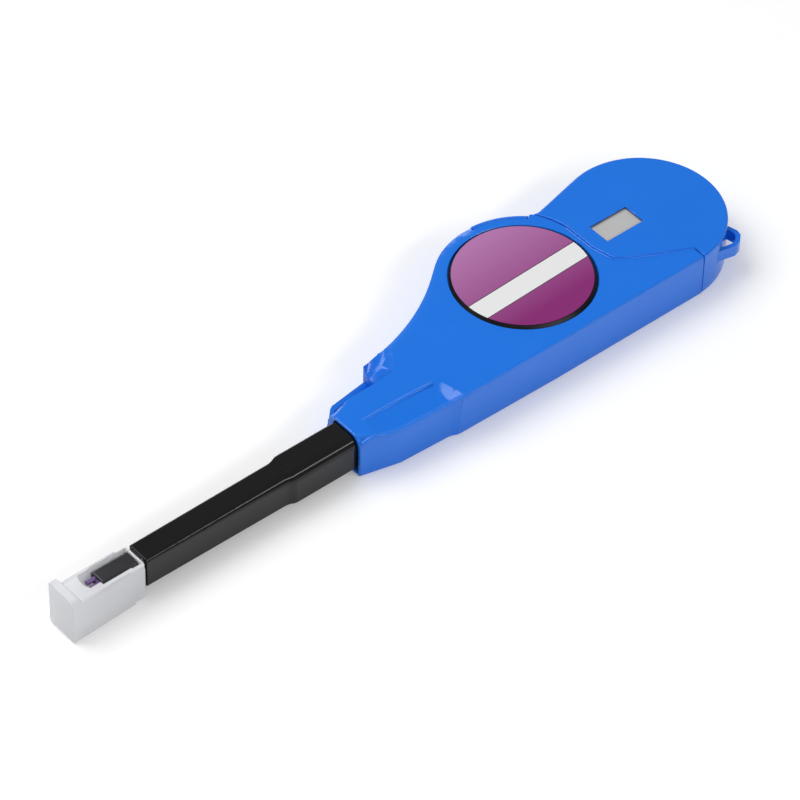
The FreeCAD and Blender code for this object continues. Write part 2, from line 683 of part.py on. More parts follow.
def tape_head():
    """Head that carries the tape round its front, with four locating prongs."""
    body = new_body("tape_head", y="axis_y", z="axis_z")
    block = new_sketch(body, "block", "YZ_Plane", "head_front")
    rectangle(block, "head_wide", "head_tall")
    extrude(body, block, "head_end - head_front")
    prongs = new_sketch(body, "prongs", "YZ_Plane", "prong_tip")
    for y in (-1.1, 1.1):
        for z in (-3.6, 3.6):
            circle(prongs, "prong_radius", (y, z))
    extrude(body, prongs, "head_front - prong_tip + 6")
    return body


def face_pad():
    """Soft pad on the front of the head."""
    body = new_body("face_pad", "head_front - pad_thick", "axis_y", "axis_z")
    sketch = new_sketch(body, "block", "YZ_Plane")
    outline(sketch, [(-1.8, -2.9), (1.8, -2.9), (1.8, 2.9), (-1.8, 2.9)])
    extrude(body, sketch, "pad_thick")
    return body


def spring(label, x, y, z, radius, wire, length, turns):
    """Compression spring of square wire along X, its runs short and straight."""
    body = doc.addObject("Part::Feature", label)
    body.Label = label
    steps = COIL_SIDES * turns
    half = size(wire) / 2
    sections = []
    for step in range(steps + 1):
        turn = 2 * math.pi * step / COIL_SIDES
        along = half + (size(length) - 2 * half) * step / steps
        section = []
        for out, shift in ((-half, -half), (half, -half), (half, half), (-half, half)):
            reach = size(radius) + out
            section.append(V(along + shift, reach * math.cos(turn), reach * math.sin(turn)))
        sections.append(section)
    faces = [Part.Face(Part.makePolygon(end + end[:1])) for end in (sections[0], sections[-1])]
    for one, two in zip(sections, sections[1:]):
        for i in range(4):
            j = (i + 1) % 4
            for corners in ((one[i], one[j], two[j]), (one[i], two[j], two[i])):
                faces.append(Part.Face(Part.makePolygon(list(corners) + [corners[0]])))
    body.Shape = Part.makeSolid(Part.makeShell(faces))
    for axis, expression in (("x", x), ("y", y), ("z", z)):
        body.setExpression("Placement.Base." + axis, bind(expression))
    PARTS.append(body)
    return body


def head_spring():
    """Spring behind the head."""
    return spring("head_spring", "head_end + 0.1", "axis_y", "axis_z", "head_spring_radius",
                  "head_spring_wire", "sleeve_end - head_end - 1.5", 4)


def return_spring():
    """Spring that pushes the nozzle back out."""
    return spring("return_spring", "tail_end + 1.7", "pull_spring_y", "axis_z",
                  "pull_spring_radius", "pull_spring_wire", "-20.95 - tail_end - 1.7", 6)


def rack_slide():
    """Frame behind the nozzle with the rack and the lug of the return spring."""
    body = new_body("rack_slide", "tail_end", "axis_y")
    low = size("gear_z")
    high = size("axis_z + tail_tall / 2")
    wide = size("tail_wide") / 2
    frame = new_sketch(body, "frame", "YZ_Plane", "0.05")
    outline(frame, [(-wide, low), (wide, low), (wide, 4.6), (11.8, 4.6), (11.8, 9.8),
                    (wide, 9.8), (wide, high), (-wide, high)])
    middle = size("axis_z")
    outline(frame, [(-2.9, middle - 3.6), (2.9, middle - 3.6), (2.9, middle + 3.6),
                    (-2.9, middle + 3.6)])
    extrude(body, frame, "1.5")
    pitch_y = -size("module * gear_teeth / 2") - size("axis_y")
    depth = size("module")
    strip = new_sketch(body, "strip", offset="gear_z")
    first = -size("tail_end") - 6.5 * size("module") * math.pi
    last = first + 7 * size("module") * math.pi
    outline(strip, [(0.05, pitch_y - 2.8), (last + 2.1, pitch_y - 2.8),
                    (last + 2.1, pitch_y - depth), (last + 1.5, pitch_y + depth),
                    (first - 1.5, pitch_y + depth), (first - 2.1, pitch_y - depth),
                    (0.05, pitch_y - depth)])
    extrude(body, strip, "gear_thick")
    gap = new_sketch(body, "gap", offset="gear_z - 1")
    outline(gap, [(first - 0.5, pitch_y - depth - 0.2), (first + 0.5, pitch_y - depth - 0.2),
                  (first + 1.0, pitch_y + depth + 0.1), (first - 1.0, pitch_y + depth + 0.1)])
    notch = extrude(body, gap, "gear_thick + 2", cut=True)
    pattern(body, notch, gap, "8", "7 * module * pi")
    return body


# ---------------------------------------------------------------- tape drive

def drive_gear():
    """Gear under the take-up reel, its boss with two pawl arms inside the reel's hub."""
    body = new_body("drive_gear", z="gear_z")
    pitch = size("module * gear_teeth / 2")
    depth = size("module")
    blank = new_sketch(body, "blank")
    circle(blank, "module * gear_teeth / 2 + module")
    circle(blank, "spindle_radius + running_fit")
    extrude(body, blank, "gear_thick")
    gap = new_sketch(body, "gap", offset="-1")
    outline(gap, [(-0.45, -pitch + depth + 0.2), (0.45, -pitch + depth + 0.2),
                  (1.15, -pitch - depth - 0.2), (-1.15, -pitch - depth - 0.2)])
    tooth = extrude(body, gap, "gear_thick + 2", cut=True)
    pattern(body, tooth, gap, "gear_teeth")
    arms = new_sketch(body, "boss", offset="gear_thick - 0.1")
    circle(arms, "4")
    circle(arms, "spindle_radius + running_fit")
    extrude(body, arms, "2.6")
    pawls = new_sketch(body, "pawl_arms", offset="gear_thick - 0.1")
    for turn in (0.0, 180.0):
        outline(pawls, [polar(MID, 3.6, turn), polar(MID, 5.6, turn + 20),
                        polar(MID, 6.4, turn + 52), polar(MID, 5.6, turn + 56),
                        polar(MID, 4.8, turn + 26), polar(MID, 3.6, turn + 18)])
    extrude(body, pawls, "2.4")
    return body


def reel(label, centre_x, centre_y):
    """Spool with two flanges, turned round its own axis."""
    body = new_body(label, centre_x, centre_y)
    bore = size("spindle_radius + running_fit")
    hub = size("hub_radius")
    rim = size("flange_radius")
    flange = size("flange_thick")
    low = 3.4
    high = low + 2 * flange + 6.4
    section = new_sketch(body, "section", "XZ_Plane")
    outline(section, [(bore, low), (rim, low), (rim, low + flange), (hub, low + flange),
                      (hub, high - flange), (rim, high - flange), (rim, high),
                      (bore, high)])
    spool = body.newObject("PartDesign::Revolution", label + "_spool")
    spool.Profile = section
    spool.ReferenceAxis = (section, ["V_Axis"])
    spool.Angle = 360
    doc.recompute()
    return body


def take_up_reel():
    """Reel for the used tape, with ratchet teeth on its lower flange and in its hub."""
    body = reel("take_up_reel", "0", "0")
    rim = size("flange_radius")
    deep = size("ratchet_deep")
    notch = new_sketch(body, "notch", offset="3")
    pitch = 360.0 / size("ratchet_teeth")
    outline(notch, [polar(MID, rim - deep, 0.0), polar(MID, rim + 0.2, 0.0),
                    polar(MID, rim + 0.2, 0.9 * pitch)])
    tooth = extrude(body, notch, "1.1", cut=True)
    pattern(body, tooth, notch, "ratchet_teeth")
    recess = new_sketch(body, "recess", offset="3")
    circle(recess, "6.6")
    extrude(body, recess, "3.2", cut=True)
    return body


def supply_reel():
    """Reel that carries the clean tape."""
    return reel("supply_reel", "rear_x", "rear_y")


def roll(label, radius, x, y):
    """Tape wound on a reel."""
    body = new_body(label, x, y, "axis_z - tape_wide / 2")
    sketch = new_sketch(body, "ring")
    circle(sketch, radius)
    circle(sketch, "hub_radius + 0.05")
    extrude(body, sketch, "tape_wide")
    return body


def brake_washer():
    """Felt washer under the supply reel."""
    body = new_body("brake_washer", "rear_x", "rear_y", "floor + 1.5")
    sketch = new_sketch(body, "ring")
    circle(sketch, "6.5")
    circle(sketch, "spindle_radius + running_fit")
    extrude(body, sketch, "0.35")
    return body


def stop_pawl():
    """Small lever whose tooth drops into the take-up reel's flange."""
    body = new_body("stop_pawl", "%g" % PAWL[0], "%g" % PAWL[1], "3.15")
    tip = polar(MID, size("flange_radius") - 0.3, 171.0)
    reach = (tip[0] - PAWL[0], tip[1] - PAWL[1])
    length = math.hypot(*reach)
    turn = math.degrees(math.atan2(reach[1], reach[0]))
    sketch = new_sketch(body, "lever")
    outline(sketch, [polar(MID, 1.7, turn + 75), (polar(MID, 1.7, turn + 180),
                     polar(MID, 1.7, turn - 75)), polar(MID, length - 1.0, turn - 12),
                     polar(MID, length, turn), polar(MID, length - 1.2, turn + 3)])
    circle(sketch, "0.8 + running_fit", (1e-9, 0.0))
    extrude(body, sketch, "1.1")
    return body


def tape_guide_pins():
    """Three steel pins that lead the tape round the take-up reel."""
    pins = [pin_on("pin%d" % n, "10", "1", "%g" % x, "%g" % y, "floor")
            for n, (x, y) in enumerate(PINS)]
    group = doc.addObject("Part::Compound", "tape_guide_pins")
    group.Label = "tape_guide_pins"
    group.Links = pins
    PARTS.append(group)
    return group


def body_tape():
    """Tape between the nozzle and the two reels."""
    body = new_body("body_tape", z="axis_z - tape_wide / 2")
    body.AllowCompound = True
    thick = size("tape_thick")
    y = size("axis_y")
    feed = [(-42.0, y - 2.4), (PINS[0][0] + 0.2, y - 2.4), (PINS[1][0] - 0.2, PINS[1][1] - 1.2),
            polar(REAR, size("supply_roll") + 0.1, -91.0)]
    used = [(-42.0, y + 2.4), (PINS[2][0], y + 2.4), polar(MID, size("take_up_roll") + 0.1, -87.0)]
    sketch = new_sketch(body, "strips")
    outline(sketch, band(feed, thick))
    outline(sketch, band(used, thick))
    extrude(body, sketch, "tape_wide")
    return body


def nozzle_tape():
    """Tape through the nozzle, out round the head and back."""
    body = new_body("nozzle_tape", y="axis_y", z="axis_z - tape_wide / 2")
    sketch = new_sketch(body, "strip")
    front = size("head_front - pad_thick") - 0.1
    tail = size("tail_end") - 1.5
    outline(sketch, band([(tail, -2.05), (front, -2.05), (front, 2.05), (tail, 2.05)],
                         size("tape_thick")))
    extrude(body, sketch, "tape_wide")
    return body


# ---------------------------------------------------------------- cap

def cap_outline(inset, near_turn):
    """Outline of the cap in Y and Z, standing on the ground, its corners round."""
    half = size("cap_wide") / 2 - inset
    low = inset
    high = size("cap_tall") - inset
    corners = ((half, low, 1.5, 315.0), (half, high, 2.0, 45.0), (-half, high, near_turn, 135.0),
               (-half, low, 0.6, 225.0))
    points = []
    for y, z, turn, middle in corners:
        centre = (y - math.copysign(turn, y), z + (turn if z == low else -turn))
        points.append(polar(centre, turn, middle - 45.0))
        points.append((polar(centre, turn, middle), polar(centre, turn, middle + 45.0)))
    return points


def cap():
    """Push-on cap with a lip at its front, a slot in its top and a stepped mouth."""
    body = new_body("cap", "cap_front", "axis_y - cap_shift")
    shell = new_sketch(body, "shell", "YZ_Plane")
    outline(shell, cap_outline(0.0, 1.2))
    extrude(body, shell, "cap_mouth - cap_front - cap_collar")
    collar = new_sketch(body, "collar", "YZ_Plane", "cap_mouth - cap_front - cap_collar - 0.5")
    outline(collar, cap_outline(size("cap_step"), 2.2))
    extrude(body, collar, "cap_collar + 0.5")

    def front_edge(edge):
        return abs(edge.CenterOfMass.x) < 1e-3

    dress(body, "Chamfer", "front_bevel", front_edge, "0.35")
    lip = new_sketch(body, "lip", "YZ_Plane")
    half = size("cap_wide") / 2 - 0.3
    foot = size("cap_tall") - 2.6
    top = size("cap_tall + cap_lip")
    outline(lip, [(half, foot), (half, top - 0.8), ((half - 0.23, top - 0.23), (half - 0.8, top)),
                  (2.0 - half, top), ((0.59 - half, top - 0.59), (-half, top - 2.0)),
                  (-half, foot)])
    extrude(body, lip, "3.4")
    slope = new_sketch(body, "lip_slope", "XZ_Plane", "-cap_wide")
    outline(slope, [(2.0, top + 0.2), (3.5, foot + 2.4), (3.5, top + 0.2)])
    extrude(body, slope, "2 * cap_wide", cut=True)

    middle = size("axis_z")
    shift = size("cap_shift")
    cavity = new_sketch(body, "cavity", "YZ_Plane", "cap_wall")
    outline(cavity, [(y, z + size("cap_tall") / 2) for y, z in cut_corners(
        size("cap_wide - 2 * cap_wall"), size("cap_tall - 2 * cap_wall"), 0.8)])
    extrude(body, cavity, "cap_mouth - cap_front - cap_collar - cap_wall", cut=True)
    mouth = new_sketch(body, "mouth", "YZ_Plane", "cap_mouth - cap_front - cap_collar - 1")
    outline(mouth, [(y + shift, z + middle) for y, z in cut_corners(
        size("sleeve_wide") + 0.2, size("sleeve_tall") + 0.1, 0.9)])
    extrude(body, mouth, "cap_collar + 2", cut=True)
    slot = new_sketch(body, "slot", offset="cap_tall - cap_wall - 0.9")
    outline(slot, [(8.0, -2.2), ((7.2, 0.6), (8.0, 3.4)), (20.2, 3.4), (20.2, -2.2)])
    extrude(body, slot, "6", cut=True)
    return body


# ---------------------------------------------------------------- build and write

def build():
    """Make every sub-part, check it and write it."""
    front_cover()
    rear_cover()
    base()
    label_dial()
    label_sticker()
    window_pane()
    nozzle()
    tip_sleeve()
    tape_head()
    face_pad()
    head_spring()
    return_spring()
    rack_slide()
    drive_gear()
    take_up_reel()
    supply_reel()
    roll("take_up_roll", "take_up_roll", "0", "0")
    roll("supply_roll", "supply_roll", "rear_x", "rear_y")
    brake_washer()
    stop_pawl()
    tape_guide_pins()
    body_tape()
    nozzle_tape()
    cap()
    doc.recompute()
    for item in doc.Objects:
        if "Invalid" in item.State or "Error" in item.State:
            raise ValueError("%s: %s" % (item.Name, item.State))
    os.makedirs("parts", exist_ok=True)
    for part in PARTS:
        shape = part.Shape
        if shape.isNull() or not shape.isValid():
            raise ValueError("%s is not a sound solid" % part.Label)
        shape.exportStep("parts/%s.step" % part.Label)
        print("%-16s solids %d volume %9.1f faces %d" % (
            part.Label, len(shape.Solids), shape.Volume, len(shape.Faces)))


build()
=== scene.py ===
"""Looks of the push-type connector cleaning pen: mouldings, print, tape and frosted cap."""
import math

import bmesh
import bpy
from mathutils import Matrix, Vector

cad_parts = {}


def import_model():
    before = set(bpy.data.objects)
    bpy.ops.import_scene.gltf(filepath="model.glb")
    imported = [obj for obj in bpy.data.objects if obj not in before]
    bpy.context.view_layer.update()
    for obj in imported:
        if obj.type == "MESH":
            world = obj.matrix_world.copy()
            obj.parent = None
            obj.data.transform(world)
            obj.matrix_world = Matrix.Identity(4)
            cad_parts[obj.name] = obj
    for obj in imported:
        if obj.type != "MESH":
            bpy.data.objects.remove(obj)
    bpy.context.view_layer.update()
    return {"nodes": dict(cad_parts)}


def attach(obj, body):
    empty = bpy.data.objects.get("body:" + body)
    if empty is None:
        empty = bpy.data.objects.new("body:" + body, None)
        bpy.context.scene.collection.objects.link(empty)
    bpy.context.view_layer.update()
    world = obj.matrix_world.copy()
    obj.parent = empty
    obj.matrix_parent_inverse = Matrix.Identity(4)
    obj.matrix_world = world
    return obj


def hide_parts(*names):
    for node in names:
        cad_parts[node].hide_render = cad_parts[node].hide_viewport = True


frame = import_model()
NODES = frame["nodes"]
MM = 0.001


# ---------------------------------------------------------------- materials

def material(name):
    """New material, its node tree and its principled shader."""
    made = bpy.data.materials.new(name)
    made.use_nodes = True
    return made, made.node_tree, made.node_tree.nodes["Principled BSDF"]


def add(tree, kind, **values):
    """Node with properties set by name, and sockets by their label."""
    node = tree.nodes.new(kind)
    for key, value in values.items():
        if hasattr(node, key):
            setattr(node, key, value)
        else:
            node.inputs[key.replace("_", " ")].default_value = value
    return node


def grain(tree, shader, scale, depth, rough, spread):
    """Fine moulded grain: bump, and roughness that wanders a little."""
    where = add(tree, "ShaderNodeTexCoord")
    fine = add(tree, "ShaderNodeTexNoise", Scale=scale, Detail=4.0, Roughness=0.6)
    broad = add(tree, "ShaderNodeTexNoise", Scale=scale / 90.0, Detail=3.0, Roughness=0.5)
    bump = add(tree, "ShaderNodeBump", Strength=depth, Distance=0.00004)
    span = add(tree, "ShaderNodeMapRange", To_Min=rough - spread, To_Max=rough + spread)
    tree.links.new(where.outputs["Object"], fine.inputs["Vector"])
    tree.links.new(where.outputs["Object"], broad.inputs["Vector"])
    tree.links.new(fine.outputs["Fac"], bump.inputs["Height"])
    tree.links.new(broad.outputs["Fac"], span.inputs["Value"])
    tree.links.new(span.outputs["Result"], shader.inputs["Roughness"])
    tree.links.new(bump.outputs["Normal"], shader.inputs["Normal"])
    return broad


def tint(tree, shader, factor, low, high):
    """Colour that wanders between two close shades."""
    shades = add(tree, "ShaderNodeMix", data_type="RGBA")
    shades.inputs["A"].default_value = (*low, 1.0)
    shades.inputs["B"].default_value = (*high, 1.0)
    tree.links.new(factor, shades.inputs["Factor"])
    tree.links.new(shades.outputs["Result"], shader.inputs["Base Color"])


def moulded(name, low, high, rough, spread=0.04, scale=9000.0, depth=0.25, gloss=0.5):
    """Moulded plastic between two close shades."""
    made, tree, shader = material(name)
    broad = grain(tree, shader, scale, depth, rough, spread)
    tint(tree, shader, broad.outputs["Fac"], low, high)
    shader.inputs["IOR"].default_value = 1.5
    shader.inputs["Specular IOR Level"].default_value = gloss
    return made


def frosted():
    """Frosted see-through moulding of the cap."""
    made, tree, shader = material("frosted cap")
    broad = grain(tree, shader, 5000.0, 0.1, 0.2, 0.04)
    tint(tree, shader, broad.outputs["Fac"], (0.94, 0.945, 0.98), (0.97, 0.975, 1.0))
    shader.inputs["Transmission Weight"].default_value = 0.38
    shader.inputs["IOR"].default_value = 1.12
    return made


# label print, in millimetres and degrees
PRINT_TURN = -2.0
FADE_START, FADE_END = 18.0, -13.0
BAND_Y, BAND_HALF, BAND_OUTLINE = -2.75, 3.25, 3.5


def printed_label():
    """Film print in two purples with a plain white band."""
    made, tree, shader = material("printed label")
    where = add(tree, "ShaderNodeTexCoord")
    turned = add(tree, "ShaderNodeMapping")
    turned.inputs["Rotation"].default_value = (0.0, 0.0, math.radians(PRINT_TURN))
    split = add(tree, "ShaderNodeSeparateXYZ")
    tree.links.new(where.outputs["Object"], turned.inputs["Vector"])
    tree.links.new(turned.outputs["Vector"], split.inputs["Vector"])
    fade = add(tree, "ShaderNodeMapRange", From_Min=FADE_START * MM,
               From_Max=FADE_END * MM)
    tree.links.new(split.outputs["Y"], fade.inputs["Value"])
    purple = add(tree, "ShaderNodeMix", data_type="RGBA")
    purple.inputs["A"].default_value = (0.47, 0.18, 0.43, 1.0)
    purple.inputs["B"].default_value = (0.25, 0.014, 0.17, 1.0)
    tree.links.new(fade.outputs["Result"], purple.inputs["Factor"])
    colour = purple.outputs["Result"]
    for half, shade in ((BAND_OUTLINE, (0.02, 0.015, 0.02)), (BAND_HALF, (0.86, 0.86, 0.87))):
        off = add(tree, "ShaderNodeMath", operation="ADD")
        off.inputs[1].default_value = -BAND_Y * MM
        size = add(tree, "ShaderNodeMath", operation="ABSOLUTE")
        inside = add(tree, "ShaderNodeMath", operation="LESS_THAN")
        inside.inputs[1].default_value = half * MM
        tree.links.new(split.outputs["Y"], off.inputs[0])
        tree.links.new(off.outputs["Value"], size.inputs[0])
        tree.links.new(size.outputs["Value"], inside.inputs[0])
        over = add(tree, "ShaderNodeMix", data_type="RGBA")
        over.inputs["B"].default_value = (*shade, 1.0)
        tree.links.new(inside.outputs["Value"], over.inputs["Factor"])
        tree.links.new(colour, over.inputs["A"])
        colour = over.outputs["Result"]
    tree.links.new(colour, shader.inputs["Base Color"])
    fine = add(tree, "ShaderNodeTexNoise", Scale=2600.0, Detail=3.0)
    tree.links.new(where.outputs["Object"], fine.inputs["Vector"])
    rough = add(tree, "ShaderNodeMapRange", To_Min=0.3, To_Max=0.38)
    tree.links.new(fine.outputs["Fac"], rough.inputs["Value"])
    tree.links.new(rough.outputs["Result"], shader.inputs["Roughness"])
    bump = add(tree, "ShaderNodeBump", Strength=0.08, Distance=0.00003)
    tree.links.new(fine.outputs["Fac"], bump.inputs["Height"])
    tree.links.new(bump.outputs["Normal"], shader.inputs["Normal"])
    return made


def woven(name, low, high, pitch):
    """Fine woven or pressed cloth."""
    made, tree, shader = material(name)
    where = add(tree, "ShaderNodeTexCoord")
    threads = add(tree, "ShaderNodeTexVoronoi", Scale=1.0 / pitch)
    tree.links.new(where.outputs["Object"], threads.inputs["Vector"])
    tint(tree, shader, threads.outputs["Distance"], low, high)
    bump = add(tree, "ShaderNodeBump", Strength=0.4, Distance=0.00005)
    tree.links.new(threads.outputs["Distance"], bump.inputs["Height"])
    tree.links.new(bump.outputs["Normal"], shader.inputs["Normal"])
    shader.inputs["Roughness"].default_value = 0.85
    return made


def steel(name):
    """Drawn or ground steel."""
    made, tree, shader = material(name)
    broad = grain(tree, shader, 12000.0, 0.15, 0.28, 0.06)
    tint(tree, shader, broad.outputs["Fac"], (0.55, 0.55, 0.56), (0.66, 0.66, 0.67))
    shader.inputs["Metallic"].default_value = 1.0
    return made


def dress(finish, *names):
    """Gives CAD nodes one finish."""
    for name in names:
        mesh = NODES[name].data
        mesh.materials.clear()
        mesh.materials.append(finish)


BLUE = moulded("blue moulding", (0.003, 0.172, 0.790), (0.005, 0.188, 0.830), 0.19, 0.03,
                scale=7000.0, depth=0.1)
BLACK = moulded("black moulding", (0.004, 0.004, 0.005), (0.007, 0.007, 0.008), 0.09, 0.02,
                scale=5000.0, depth=0.05, gloss=0.35)
DARK = moulded("dark grey moulding", (0.020, 0.020, 0.022), (0.030, 0.030, 0.033), 0.28)
PURPLE = moulded("purple moulding", (0.16, 0.09, 0.26), (0.20, 0.12, 0.31), 0.35)
PALE = moulded("pale moulding", (0.72, 0.72, 0.70), (0.78, 0.78, 0.76), 0.4)
GREY = moulded("window pane", (0.50, 0.50, 0.50), (0.56, 0.56, 0.56), 0.3, depth=0.1)
RUBBER = moulded("soft pad", (0.05, 0.05, 0.06), (0.07, 0.07, 0.08), 0.7, depth=0.5)

dress(moulded("dial ring", (0.003, 0.003, 0.004), (0.005, 0.005, 0.006), 0.3, gloss=0.2),
      "label_dial")
dress(printed_label(), "label_sticker")
dress(GREY, "window_pane")
dress(PURPLE, "tape_head")
dress(RUBBER, "face_pad")
dress(PALE, "rack_slide", "drive_gear", "take_up_reel", "supply_reel", "stop_pawl")
dress(woven("cleaning tape", (0.70, 0.70, 0.68), (0.90, 0.90, 0.88), 0.00018),
      "body_tape", "nozzle_tape", "take_up_roll", "supply_roll")
dress(woven("pressed felt", (0.20, 0.20, 0.20), (0.33, 0.33, 0.33), 0.0003), "brake_washer")
dress(steel("steel"), "tape_guide_pins", "head_spring", "return_spring")
FROSTED = frosted()
# near-black finish: painted shade that stands in for the shadow on the window's recess walls
RECESS_PAINTED_SHADE = moulded("window recess painted shade", (0.003, 0.004, 0.012), (0.005, 0.007, 0.020), 0.4)


# ---------------------------------------------------------------- softened mouldings

def only(made):
    """Selects one object and makes it the active one."""
    bpy.ops.object.select_all(action="DESELECT")
    made.select_set(True)
    bpy.context.view_layer.objects.active = made


def merged_copy(node, piece):
    """Copy of a CAD node, merged and with its flat faces whole."""
    made = bpy.data.objects.new(piece, NODES[node].data.copy())
    bpy.context.scene.collection.objects.link(made)
    only(made)
    bpy.ops.object.mode_set(mode="EDIT")
    bpy.ops.mesh.select_mode(type="VERT")
    bpy.ops.mesh.select_all(action="SELECT")
    bpy.ops.mesh.remove_doubles(threshold=0.003 * MM)
    bpy.ops.mesh.dissolve_limited(angle_limit=math.radians(0.5))
    bpy.ops.object.mode_set(mode="OBJECT")
    return made


def soften(made, width, where=None, rings=3, sharp=40.0, turn=38.0):
    """Rounds the outward edges that a mould leaves soft."""
    shape = bmesh.new()
    shape.from_mesh(made.data)
    weight = shape.edges.layers.float.new("bevel_weight_edge")
    for edge in shape.edges:
        if not edge.is_manifold or edge.calc_face_angle_signed() < math.radians(sharp):
            continue
        middle = (edge.verts[0].co + edge.verts[1].co) / (2.0 * MM)
        if where is None or where(middle):
            edge[weight] = 1.0
    shape.to_mesh(made.data)
    shape.free()
    only(made)
    round_off = made.modifiers.new("soft edges", "BEVEL")
    round_off.width = width * MM
    round_off.segments = rings
    round_off.limit_method = "WEIGHT"
    round_off.use_clamp_overlap = False
    bpy.ops.object.modifier_apply(modifier=round_off.name)
    bpy.ops.object.shade_smooth_by_angle(angle=math.radians(turn))


def block(low, high):
    """Closed block between two corners, in millimetres."""
    low, high = Vector(low) * MM, Vector(high) * MM
    bpy.ops.object.select_all(action="DESELECT")
    bpy.ops.mesh.primitive_cube_add(size=1.0, location=(low + high) / 2, scale=high - low)
    made = bpy.context.object
    bpy.ops.object.transform_apply(location=True, rotation=False, scale=True)
    return made


def cut(made, tool):
    """Cuts a block away from a piece."""
    only(made)
    step = made.modifiers.new("cut", "BOOLEAN")
    step.operation = "DIFFERENCE"
    step.solver = "EXACT"
    step.object = tool
    bpy.ops.object.modifier_apply(modifier=step.name)
    bpy.data.objects.remove(tool, do_unlink=True)


def bead(made, points, thick, ring=False):
    """Closed round lip along an edge, joined to the piece and overlapping it."""
    line = bpy.data.curves.new("lip", "CURVE")
    line.dimensions = "3D"
    line.bevel_depth = thick * MM
    line.bevel_resolution = 3
    line.use_fill_caps = True
    run = line.splines.new("POLY")
    run.points.add(len(points) - 1)
    for spot, place in zip(run.points, points):
        spot.co = (*(Vector(place) * MM), 1.0)
    run.use_cyclic_u = ring
    run.use_smooth = True
    lip = bpy.data.objects.new("lip", line)
    bpy.context.scene.collection.objects.link(lip)
    only(lip)
    bpy.ops.object.convert(target="MESH")
    lip.select_set(True)
    made.select_set(True)
    bpy.context.view_layer.objects.active = made
    bpy.ops.object.join()


def hand_over(made, node, body, finish):
    """Sets finish and body, and takes the CAD node's place."""
    only(made)
    even = made.modifiers.new("flat faces stay flat", "WEIGHTED_NORMAL")
    even.keep_sharp = True
    even.weight = 60
    bpy.ops.object.modifier_apply(modifier=even.name)
    made.data.materials.clear()
    made.data.materials.append(finish)
    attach(made, body)
    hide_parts(node)


# widths of softened edges, in millimetres
COVER_EDGE, SLEEVE_EDGE, CAP_EDGE = 0.3, 0.45, 0.1
# lower shell: rim above this height and outside this radius, and its lift
RIM_FROM, RIM_OUTSIDE, RIM_LIFT = 12.8, 23.2, 0.5
# cap: mouth moved forward, near collar moved in, slot between two corners
MOUTH_FROM, MOUTH_MOVE = -146.6, 1.7
COLLAR_FROM, COLLAR_SIDE, COLLAR_MOVE = -148.5, -18.6, 0.8
CAP_SLOT = (-157.4, -17.6, 10.9), (-145.3, -10.6, 18.0)

# lines of the front cover's lips, in millimetres
NOSE_LIP = ((-73.4, -19.7, 11.8), (-72.0, -20.2, 12.75), (-70.5, -20.55, 13.35),
            (-69.2, -20.85, 13.3), (-67.5, -21.35, 12.7), (-62.5, -22.5, 12.5),
            (-54.0, -22.9, 12.45), (-46.5, -23.3, 12.5), (-45.0, -23.6, 12.9),
            (-43.0, -24.15, 13.5), (-41.0, -24.6, 13.72))
BODY_EDGE = ((-41.6, -24.58, 13.78), (-9.0, -24.68, 13.8), (43.2, -24.68, 13.8))
MOUTH_RING = ((-73.8, -19.5, 0.8), (-73.8, -19.5, 10.6), (-73.8, -19.3, 11.5),
              (-73.8, -18.8, 12.3), (-73.8, -18.1, 12.95), (-73.8, -17.2, 13.4),
              (-73.8, -16.0, 13.55), (-73.8, -9.6, 13.55), (-73.8, -8.4, 13.2),
              (-73.8, -7.2, 12.2), (-73.8, -6.7, 10.8), (-73.8, -6.55, 0.9),
              (-73.8, -7.1, 0.55), (-73.8, -19.0, 0.55))
SEAM_EDGE = ((43.45, -24.5, 14.0), (43.45, -21.1, 14.28), (27.95, -13.35, 14.28),
             (23.55, -10.5, 14.28), (21.95, -3.6, 14.28), (21.95, 7.0, 14.28))
GROOVE_RIDGE = ((-69.2, -14.8, 13.8), (-68.0, -14.87, 14.0), (-60.0, -15.0, 14.0),
                (-52.0, -15.25, 14.0), (-46.8, -15.5, 14.0), (-45.8, -15.55, 13.8))


LIPS = ((NOSE_LIP, 0.72, False), (BODY_EDGE, 0.58, False), (MOUTH_RING, 0.5, True),
        (SEAM_EDGE, 0.38, False), (GROOVE_RIDGE, 0.6, False))


def front_edge(at):
    """True on the mouth and upper edges, but not in the far hollow."""
    hollow = -68.0 < at.x < -54.0 and at.y > -8.0
    return at.x < -73.8 or (at.z > 10.5 and not hollow)


def painted_shade_wall(face):
    """True on the upright walls of the window's recess, where the shade is painted in."""
    at = face.center / MM
    inside = 26.8 < at.x < 41.2 and -4.6 < at.y < 4.1 and 12.9 < at.z < 14.1
    return inside and abs(face.normal.z) < 0.5


def sleeve_edge(at):
    """True on the outer edges of the sleeve's front end."""
    return at.x < -156.0 and (abs(at.y + 13.9) > 2.6 or abs(at.z - 7.2) > 4.6)


def cap_edge(at):
    """True on the cap's sides and closed end."""
    return at.y < -19.3 or at.y > -9.4 or at.x < -168.0


def shell_front():
    """Front cover with rounded edges and lips."""
    made = merged_copy("front_cover", "front_shell")
    soften(made, COVER_EDGE, front_edge, turn=22.0)
    for line, thick, ring in LIPS:
        bead(made, line, thick, ring)
    hand_over(made, "front_cover", "housing", BLUE)


def shell_rear():
    """Rear cover with rounded edges, and painted shade on the walls of the window's recess."""
    made = merged_copy("rear_cover", "rear_shell")
    soften(made, COVER_EDGE, lambda at: at.z > 13.0)
    hand_over(made, "rear_cover", "housing", BLUE)
    # second finish: painted shade on the upright walls of the window's recess
    made.data.materials.append(RECESS_PAINTED_SHADE)
    for face in made.data.polygons:
        if painted_shade_wall(face):
            face.material_index = 1


def shell_base():
    """Lower shell with its rim brought up round the disc."""
    made = merged_copy("base", "lower_shell")
    for point in made.data.vertices:
        place = point.co
        if place.z > RIM_FROM * MM and math.hypot(place.x, place.y) > RIM_OUTSIDE * MM:
            place.z += RIM_LIFT * MM
    soften(made, COVER_EDGE, lambda at: at.z > 13.0 or at.z < 0.8)
    hand_over(made, "base", "housing", BLUE)


